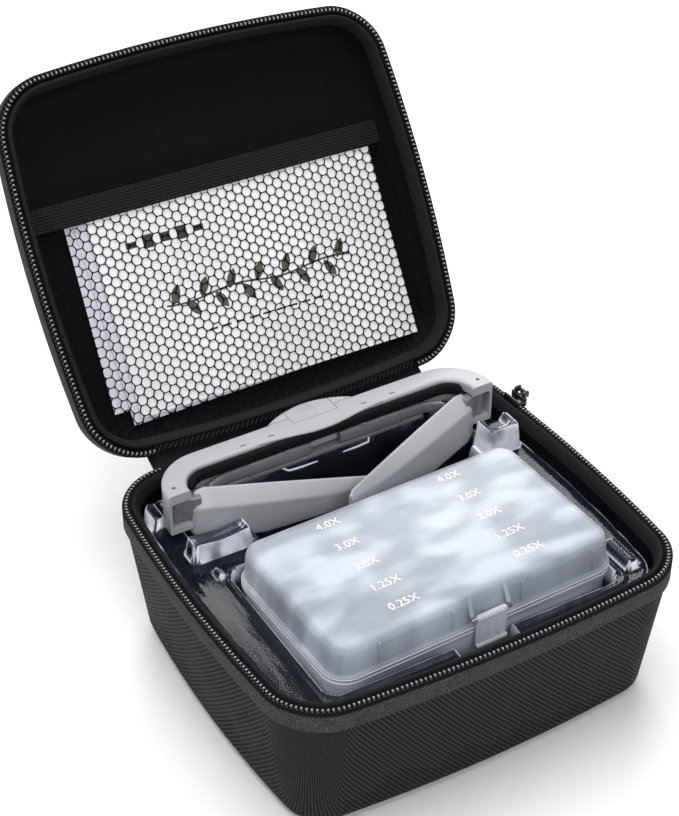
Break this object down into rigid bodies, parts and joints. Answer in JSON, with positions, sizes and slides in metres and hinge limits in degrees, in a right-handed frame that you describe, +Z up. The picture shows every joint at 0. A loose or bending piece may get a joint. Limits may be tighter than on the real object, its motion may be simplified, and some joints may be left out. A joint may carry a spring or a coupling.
{
  "type": "dental loupes in carry case",
  "caption": "Head-worn magnifying loupes with folding temples and a brow light, in a clear tray with a hinged box of spare lenses, inside an open zip-up shell case.",
  "frame": {"origin": "on the surface the case stands on, under the middle of the case base", "axes": "+X along the lid hinge, +Y towards the hinge side, +Z up"},
  "size_m": [0.214, 0.3093, 0.2399],
  "materials": {
    "nylon": "ballistic nylon over moulded board, fine ribbed weave",
    "lining": "matte knitted lining",
    "binding": "twill binding and herringbone zip tape",
    "zip_coil": "moulded zip teeth",
    "paper": "glossy coated card",
    "net": "open hexagonal net",
    "elastic": "ribbed elastic webbing",
    "steel": "plain steel",
    "clear_pet": "clear vacuum-formed sheet",
    "lens": "clear acrylic",
    "frosted": "frosted polypropylene",
    "grey_plastic": "satin moulded plastic",
    "mid_grey_plastic": "satin moulded plastic",
    "foam": "soft foam pad",
    "led": "clear lens over a white diode",
    "board": "circuit board",
    "cell": "wrapped lithium cell"
  },
  "bodies": {
    "case_base": {"base_floor": "nylon", "base_wall": "nylon", "base_lining": "lining", "base_binding": "binding", "base_zip_tape": "binding", "base_zip_coil": "zip_coil", "hinge_gusset": "nylon"},
    "case_lid": {"lid_panel": "nylon", "lid_wall": "nylon", "lid_lining": "lining", "lid_binding": "binding", "lid_zip_tape": "binding", "lid_zip_coil": "zip_coil", "pocket_net": "net", "pocket_elastic": "elastic"},
    "card": {"greeting_card": "paper"},
    "leaflets": {"leaflet_front": "paper", "leaflet_back": "paper"},
    "slider": {"zip_slider": "steel"},
    "pull": {"zip_pull": "steel"},
    "tray_insert": {"tray_rim": "clear_pet", "tray_headset_pocket": "clear_pet", "tray_box_pocket": "clear_pet", "tray_left_boss": "clear_pet", "tray_right_boss": "clear_pet"},
    "headset": {"headset_band": "grey_plastic", "light_housing": "grey_plastic", "brow_pad": "foam", "lens_carrier": "mid_grey_plastic", "hinge_pin_left": "steel", "hinge_pin_right": "steel", "led_board": "board", "led_left": "led", "led_right": "led", "battery_cell": "cell"},
    "left_temple": {"temple_left": "grey_plastic"},
    "right_temple": {"temple_right": "grey_plastic"},
    "lens": {"fitted_lens": "lens"},
    "button": {"light_button": "mid_grey_plastic"},
    "lens_box": {"lens_box_base": "frosted", "lens_rack": "frosted", "box_hinge_pin_left": "steel", "box_hinge_pin_right": "steel"},
    "box_lid": {"lens_box_lid": "frosted", "latch_pin": "steel"},
    "box_latch": {"lens_box_latch": "frosted"},
    "spare_lenses": {"spare_lens_1": "lens", "spare_lens_2": "lens", "spare_lens_3": "lens", "spare_lens_4": "lens", "spare_lens_5": "lens"}
  },
  "joints": [
    {"name": "lid_hinge", "type": "hinge", "parent": "case_base", "child": "case_lid", "pos_m": [0, 0.09375, 0.0799], "axis": [-1, 0, 0], "range_deg": [-122.5, 0], "deforming": ["hinge_gusset"]},
    {"name": "card_slide", "type": "slide", "parent": "case_lid", "child": "card", "axis": [0, 0.5373, 0.8434], "range_m": [0, 0.055]},
    {"name": "leaflet_slide", "type": "slide", "parent": "case_lid", "child": "leaflets", "axis": [0, 0.5373, 0.8434], "range_m": [0, 0.05]},
    {"name": "zip_slide", "type": "slide", "parent": "case_base", "child": "slider", "axis": [0.0523, -0.9986, 0], "range_m": [0, 0.025]},
    {"name": "pull_hinge", "type": "hinge", "parent": "slider", "child": "pull", "pos_m": [0.10724, 0.05219, 0.0802], "axis": [0.0523, -0.9986, 0], "range_deg": [0, 100]},
    {"name": "tray_lift", "type": "slide", "parent": "case_base", "child": "tray_insert", "axis": [0, 0, 1], "range_m": [0, 0.1]},
    {"name": "headset_lift", "type": "slide", "parent": "tray_insert", "child": "headset", "axis": [0, 0, 1], "range_m": [0, 0.3]},
    {"name": "left_temple_hinge", "type": "hinge", "parent": "headset", "child": "left_temple", "pos_m": [-0.08199, 0.05605, 0.079], "axis": [-0.0593, -0.001, -0.9982], "range_deg": [0, 78]},
    {"name": "right_temple_hinge", "type": "hinge", "parent": "headset", "child": "right_temple", "pos_m": [0.08439, 0.05895, 0.079], "axis": [0.0593, 0.001, 0.9982], "range_deg": [0, 69]},
    {"name": "lens_slide", "type": "slide", "parent": "headset", "child": "lens", "axis": [-0.0175, 0.9998, 0], "range_m": [0, 0.009]},
    {"name": "button_press", "type": "slide", "parent": "headset", "child": "button", "axis": [0, 0, -1], "range_m": [0, 0.0008], "stiffness_N_per_m": 300},
    {"name": "box_lift", "type": "slide", "parent": "tray_insert", "child": "lens_box", "axis": [0, 0, 1], "range_m": [0, 0.15]},
    {"name": "box_lid_hinge", "type": "hinge", "parent": "lens_box", "child": "box_lid", "pos_m": [-0.00193, 0.01648, 0.0703], "axis": [-0.9995, -0.0314, 0], "range_deg": [0, 110]},
    {"name": "latch_hinge", "type": "hinge", "parent": "box_lid", "child": "box_latch", "pos_m": [0.00091, -0.07398, 0.0775], "axis": [-0.9995, -0.0314, 0], "range_deg": [0, 45]},
    {"name": "spare_lens_lift", "type": "slide", "parent": "lens_box", "child": "spare_lenses", "axis": [0, 0, 1], "range_m": [0, 0.035]}
  ],
  "couplings": [
    {"joint": "left_temple_hinge", "follows": "headset_lift", "rad_per_m": 4.537},
    {"joint": "right_temple_hinge", "follows": "headset_lift", "rad_per_m": 4.014},
    {"joint": "box_lid_hinge", "follows": "box_lift", "rad_per_m": 12.79},
    {"joint": "spare_lens_lift", "follows": "box_lift", "ratio": 0.233}
  ]
}
